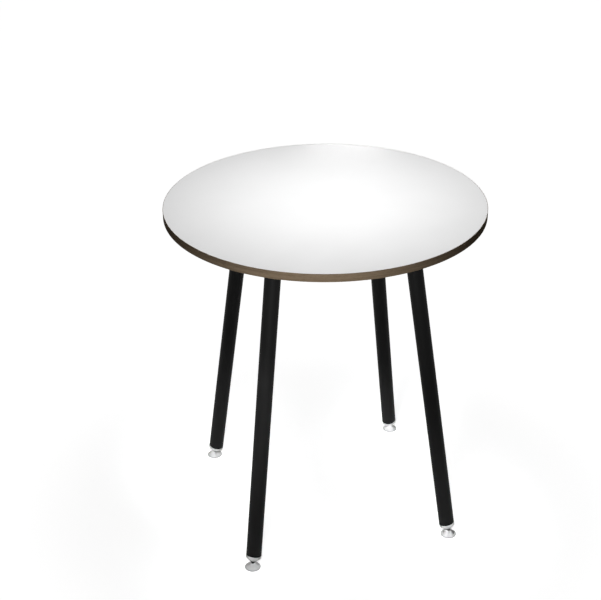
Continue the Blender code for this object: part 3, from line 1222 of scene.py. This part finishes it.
@dataclass
class Foot(LegAssembly):
    """The foot of one leg: collar, levelling stem, swivel ball, flared glide and felt sole."""

    segments: int = 96
    stem_segments: int = 72
    ball_segments: int = 64
    ball_steps: int = 24
    socket_steps: int = 16
    flank_steps: int = 20
    collar_overhang: float = 0.0004
    lip_height: float = 0.0088
    lip_rounding: float = 0.0006
    collar_end_radius: float = 0.0095
    plug_radius: float = 0.0227
    plug_rounding: float = 0.0015
    bore_radius: float = 0.00515
    stem_crest: float = 0.00485
    stem_root: float = 0.0041
    stem_pitch: float = 0.0015
    stem_relief: float = 0.0002
    stem_tip: float = 0.0008
    stem_tip_radius: float = 0.0035
    hex_across_flats: float = 0.014
    hex_height: float = 0.0030
    hex_chamfer: float = 0.0006
    hex_to_collar: float = 0.0004
    neck_radius: float = 0.0030
    spigot_radius: float = 0.0020
    rivet_height: float = 0.0014
    rivet_end_radius: float = 0.0024
    ball_radius: float = 0.006
    mouth_radius: float = 0.0052
    mouth_wall: float = 0.0012
    mouth_rounding: float = 0.0003
    crown_rounding: float = 0.0006
    rim_height: float = 0.0012
    rim_rounding: float = 0.0004
    hollow: float = 0.0014
    sole_top_rounding: float = 0.0003
    sole_rounding: float = 0.0005

    def build(self) -> None:
        """Make every piece of the foot."""
        self.build_collar()
        self.build_stem()
        self.build_ball()
        self.build_glide()
        self.build_sole()

    @property
    def collar_end(self) -> float:
        """Height of the collar's lower end above the ball's centre."""
        return self.along(self.named("foot_collar"), self.place.foot_axes)[0]

    @property
    def rivet_top(self) -> float:
        """Height of the upper side of the rivet head above the ball's centre."""
        return 2 * self.rivet_height - self.ball_radius

    @property
    def ball_bore(self) -> float:
        """Radius of the ball's bore, which takes the spigot."""
        return self.spigot_radius + SEAT_GAP

    def upright_box(self, node: str) -> Triple:
        """Return an upright round node's radius, bottom and top, measured from the ball.

        Args:
            node: The CAD node's name.

        Returns:
            The radius, and the two heights above the ball's centre.
        """
        low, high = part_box(node)
        drop = self.place.ball.z
        return (high.x - low.x) / 2, low.z - drop, high.z - drop

    def build_collar(self) -> None:
        """Make the collar: cone and lip along the foot, plug along the tube, bore through."""
        node = self.named("foot_collar")
        foot, tube = self.place.foot_axes, self.place.tube_axes
        to_tube = foot.inverted() @ tube
        end = self.collar_end
        lip_top = to_tube.translation.z - SEAT_GAP
        lip = self.tube_radius + self.collar_overhang
        cone = [(self.plug_radius, lip_top), (lip, lip_top), (lip, lip_top - self.lip_height),
                (self.collar_end_radius, end), (self.bore_radius, end),
                (self.bore_radius, lip_top)]
        cone = with_rounded_corners(cone, {1: self.lip_rounding, 2: 2 * self.lip_rounding,
                                           3: self.lip_rounding, 4: self.lip_rounding})
        plug_top = self.along(node, tube)[1]
        plug = with_rounded_corners([(self.bore_radius, plug_top), (self.plug_radius, plug_top),
                                     (self.plug_radius, 0.0)], {1: self.plug_rounding})
        plug_plane = to_tube @ Matrix.Translation((0.0, 0.0, plug_top))
        lip_plane = Matrix.Translation((0.0, 0.0, lip_top))
        loops = [circle_on_plane(Matrix(), self.bore_radius, plug_plane, self.segments)]
        loops += [circle(to_tube, radius, height, self.segments)
                  for radius, height in plug[1:-1]]
        loops.append(circle_on_plane(to_tube, self.plug_radius, lip_plane, self.segments))
        loops += [circle(Matrix(), radius, height, self.segments)
                  for radius, height in cone[1:-1]]
        item = self.make(self.named("collar"), skin(loops), foot, "root", [node],
                         Slot.SATIN_GREY_METAL, sharp_degrees=40.0)
        # Painted shade: the collar takes the copy of the grey that is darkened at its lower end.
        item.data.materials[0] = self.shelf.collar_coat

    def build_stem(self) -> None:
        """Make the levelling stem: rivet, spigot, neck, spanner hexagon and thread."""
        node = self.named("levelling_stem")
        bottom, top = self.along(node, self.place.foot_axes)
        shoulder = math.sqrt(self.ball_radius ** 2 - self.ball_bore ** 2) + SEAT_GAP
        hex_top = self.collar_end - self.hex_to_collar
        hex_bottom = hex_top - self.hex_height
        flats = self.hex_across_flats / 2
        corners = self.hex_across_flats / math.sqrt(3)
        rows = plain_rows((bottom, self.rivet_end_radius), (bottom + SEAT_GAP, self.neck_radius),
                          (self.rivet_top, self.neck_radius), (self.rivet_top, self.spigot_radius),
                          (shoulder, self.spigot_radius), (shoulder, self.neck_radius),
                          (hex_bottom, self.neck_radius))
        rows += [Row(height, hexagon(self.hex_across_flats, limit))
                 for height, limit in ((hex_bottom, flats), (hex_bottom + self.hex_chamfer, corners),
                                       (hex_top - self.hex_chamfer, corners), (hex_top, flats))]
        rows += plain_rows((hex_top, self.stem_root))
        rows += thread_rows(hex_top + self.stem_relief, top - self.stem_tip, self.stem_root,
                            self.stem_crest, self.stem_pitch)
        rows += plain_rows((top, self.stem_tip_radius))
        self.make(self.named("stem"), shaft(rows, self.stem_segments), self.place.foot_axes,
                  self.named("stem"), [node], Slot.BLACK_STEEL, sharp_degrees=25.0)

    def build_ball(self) -> None:
        """Make the swivel ball with its bore and its counterbore."""
        bore = self.ball_bore
        counterbore = self.neck_radius + SEAT_GAP
        seat = self.rivet_top + SEAT_GAP
        profile = arc(self.ball_radius, math.acos(bore / self.ball_radius),
                      -math.acos(counterbore / self.ball_radius), self.ball_steps)
        profile += [(counterbore, seat), (bore, seat)]
        self.make(self.named("ball"), turned(profile, self.ball_segments, closed=True),
                  self.place.foot_axes, self.named("foot"), [self.named("swivel_ball")],
                  Slot.BLACK_NYLON)

    def flank(self, radius: float, rim_top: float, mouth_top: float) -> Profile:
        """Return the glide's hollow side, from its rim up to its mouth.

        Args:
            radius: The glide's outer radius.
            rim_top: Height where the rim ends.
            mouth_top: Height of the mouth.

        Returns:
            Points as radius and height.
        """
        start = Vector((radius, rim_top))
        run = Vector((self.mouth_radius + self.mouth_wall, mouth_top)) - start
        inward = Vector((-run.y, run.x)).normalized()
        shares = [step / self.flank_steps for step in range(self.flank_steps + 1)]
        return [tuple(start + run * share + inward * 4 * self.hollow * share * (1 - share))
                for share in shares]

    def build_glide(self) -> None:
        """Make the flared shell of the glide, with the ball's socket and the sole's recess."""
        node = self.named("glide_shell")
        radius, rim_bottom, mouth_top = self.upright_box(node)
        sole_radius, _, sole_top = self.upright_box(self.named("glide_sole"))
        recess, recess_top = sole_radius + SEAT_GAP, sole_top + SEAT_GAP
        socket = self.ball_radius + SEAT_GAP
        side = self.flank(radius, rim_bottom + self.rim_height, mouth_top)
        crown = side[-1]
        mouth = (self.mouth_radius, mouth_top)
        ball_side = arc(socket, math.acos(self.mouth_radius / socket), -math.pi / 2,
                        self.socket_steps)
        profile = [(0.0, recess_top), (recess, recess_top), (recess, rim_bottom)]
        profile += rounded((radius, rim_bottom), (recess, rim_bottom), side[0],
                           self.rim_rounding)
        profile += side[:-1]
        profile += rounded(crown, side[-2], mouth, self.crown_rounding)
        profile += rounded(mouth, crown, ball_side[0], self.mouth_rounding)
        profile += ball_side[:-1] + [(0.0, -socket)]
        # The glide's grey carries a painted line of shade round its lower rim.
        self.make(self.named("glide"), turned(profile, self.segments), self.place.glide_axes,
                  self.named("glide"), [node], Slot.SATIN_GREY_METAL, sharp_degrees=40.0)

    def build_sole(self) -> None:
        """Make the felt sole with its softly rounded edge."""
        node = self.named("glide_sole")
        radius, bottom, top = self.upright_box(node)
        profile = with_rounded_corners([(0.0, top), (radius, top), (radius, bottom),
                                        (0.0, bottom)],
                                       {1: self.sole_top_rounding, 2: self.sole_rounding})
        self.make(self.named("sole"), turned(profile, self.segments), self.place.glide_axes,
                  self.named("glide"), [node], Slot.GREY_FELT)


# Stage, light and camera

@dataclass(frozen=True)
class AreaLamp:
    """One soft lamp of the studio."""

    name: str
    place: Triple
    aim: Triple
    size: float
    power: float
    spread_degrees: float = 180.0

    def build(self) -> None:
        """Add the lamp, unseen by the camera."""
        light = bpy.data.lights.new(self.name, "AREA")
        light.shape = "DISK"
        light.size = self.size
        light.energy = self.power
        light.spread = math.radians(self.spread_degrees)
        lamp = set_out(self.name, light)
        lamp.location = self.place
        direction = Vector(self.aim) - Vector(self.place)
        lamp.rotation_mode = "QUATERNION"
        lamp.rotation_quaternion = direction.to_track_quat("-Z", "Y")
        lamp.visible_camera = False


@dataclass(frozen=True)
class FootLamp:
    """One narrow soft lamp for a single foot."""

    corner: Corner
    offset: Triple
    power: float
    size: float = 0.5
    spread_degrees: float = 20.0

    def build(self) -> None:
        """Add the lamp, aimed at the middle of the foot's ball."""
        foot = LegPlace(self.corner).ball
        AreaLamp(f"{self.corner.value}_foot_lamp", tuple(foot + Vector(self.offset)),
                 tuple(foot), self.size, self.power, self.spread_degrees).build()


@dataclass
class Studio:
    """The pale floor, the soft lamps, the white surroundings and the camera."""

    floor_size: float = 60.0
    floor_colour: float = 0.40
    floor_glow: float = 0.93
    glow_reach: Pair = (0.5, 1.6)
    ambient: float = 0.01
    heading_degrees: float = -15.005
    pitch_degrees: float = 29.909
    camera_place: Triple = (-0.9500, -3.6459, 2.7242)
    focal_pixels: float = 1319.99
    centre_pixels: Pair = (333.97, 354.50)
    lamps: tuple[AreaLamp | FootLamp, ...] = (
        AreaLamp("overhead_lamp", (0.03, -0.01, 2.10), (0.03, -0.01, 0.0), 0.5, 12.3),
        AreaLamp("front_lamp", (-0.43, -1.27, 0.90), (0.0, 0.0, 0.95), 0.6, 1.86, 75.0),
        AreaLamp("back_lamp", (0.43, 1.27, 0.90), (0.0, 0.0, 0.95), 0.6, 1.86, 75.0),
        FootLamp(Corner.FRONT_LEFT, (-0.35, -0.90, 1.09), 0.50),
        FootLamp(Corner.FRONT_RIGHT, (-0.45, -0.85, 0.92), 0.70),
        FootLamp(Corner.BACK_LEFT, (-0.20, -0.90, 0.79), 0.74),
        FootLamp(Corner.BACK_RIGHT, (-0.50, -0.90, 0.59), 0.44, 0.3),
    )

    def build(self) -> None:
        """Make the stage round the table."""
        self.build_floor()
        self.build_world()
        for lamp in self.lamps:
            lamp.build()
        self.build_camera()

    def build_floor(self) -> None:
        """Make the pale floor, which takes the table's soft shadow."""
        solid = bmesh.new()
        bmesh.ops.create_grid(solid, x_segments=1, y_segments=1, size=self.floor_size / 2)
        floor = as_object("pale_floor", solid)
        floor.data.materials.append(self.floor_material())

    def floor_material(self) -> bpy.types.Material:
        """Return a pale matt floor whose glow rises to white away from the table.

        Returns:
            The material.
        """
        graph = Graph.of_material("pale_floor")
        graph.tree.nodes.clear()
        diffuse = graph.add("ShaderNodeBsdfDiffuse", Color=(*even(self.floor_colour), 1.0))
        distance = graph.add("ShaderNodeVectorMath", operation="LENGTH")
        graph.link(graph.place(even(1.0)), distance.inputs[0])
        rise = graph.spread(distance.outputs["Value"], self.glow_reach, (self.floor_glow, 1.0))
        glow = graph.add("ShaderNodeEmission")
        strength = graph.combine("MULTIPLY", graph.seen_directly(), rise)
        graph.link(strength, glow.inputs["Strength"])
        total = graph.add("ShaderNodeAddShader")
        graph.link(diffuse.outputs[0], total.inputs[0])
        graph.link(glow.outputs[0], total.inputs[1])
        output = graph.add("ShaderNodeOutputMaterial")
        graph.link(total.outputs[0], output.inputs["Surface"])
        return graph.owner

    def build_world(self) -> None:
        """Make white surroundings that light the table only faintly."""
        world = bpy.data.worlds.new("white_surroundings")
        bpy.context.scene.world = world
        graph = Graph(world)
        background = graph.tree.nodes["Background"]
        background.inputs["Color"].default_value = (1.0, 1.0, 1.0, 1.0)
        strength = graph.spread(graph.seen_directly(), (0.0, 1.0), (self.ambient, 1.0))
        graph.link(strength, background.inputs["Strength"])

    def build_camera(self) -> None:
        """Place the camera where the photo was taken from."""
        width, height = PHOTO_SIZE
        data = bpy.data.cameras.new("photo_camera")
        data.sensor_width = SENSOR_WIDTH
        data.lens = self.focal_pixels / width * SENSOR_WIDTH
        data.shift_x = (width / 2 - self.centre_pixels[0]) / width
        data.shift_y = (self.centre_pixels[1] - height / 2) / width
        data.dof.use_dof = False
        camera = set_out("photo_camera", data)
        camera.location = self.camera_place
        camera.rotation_euler = (math.pi / 2 - math.radians(self.pitch_degrees), 0.0,
                                 math.radians(self.heading_degrees))
        bpy.context.scene.camera = camera


def main() -> None:
    """Build the dressed table and its studio."""
    logging.basicConfig(level=logging.INFO, format="%(message)s")
    bpy.context.scene.view_settings.view_transform = "Standard"
    shelf = FinishShelf()
    Tabletop(shelf).build()
    screws = PlateScrews(shelf)
    for corner in Corner:
        place = LegPlace(corner)
        Leg(shelf, place).build()
        for number in range(1, 5):
            screws.build(f"plate_screw_{corner.value}_{number}")
        Foot(shelf, place).build()
    Studio().build()


if __name__ == "__main__":
    main()
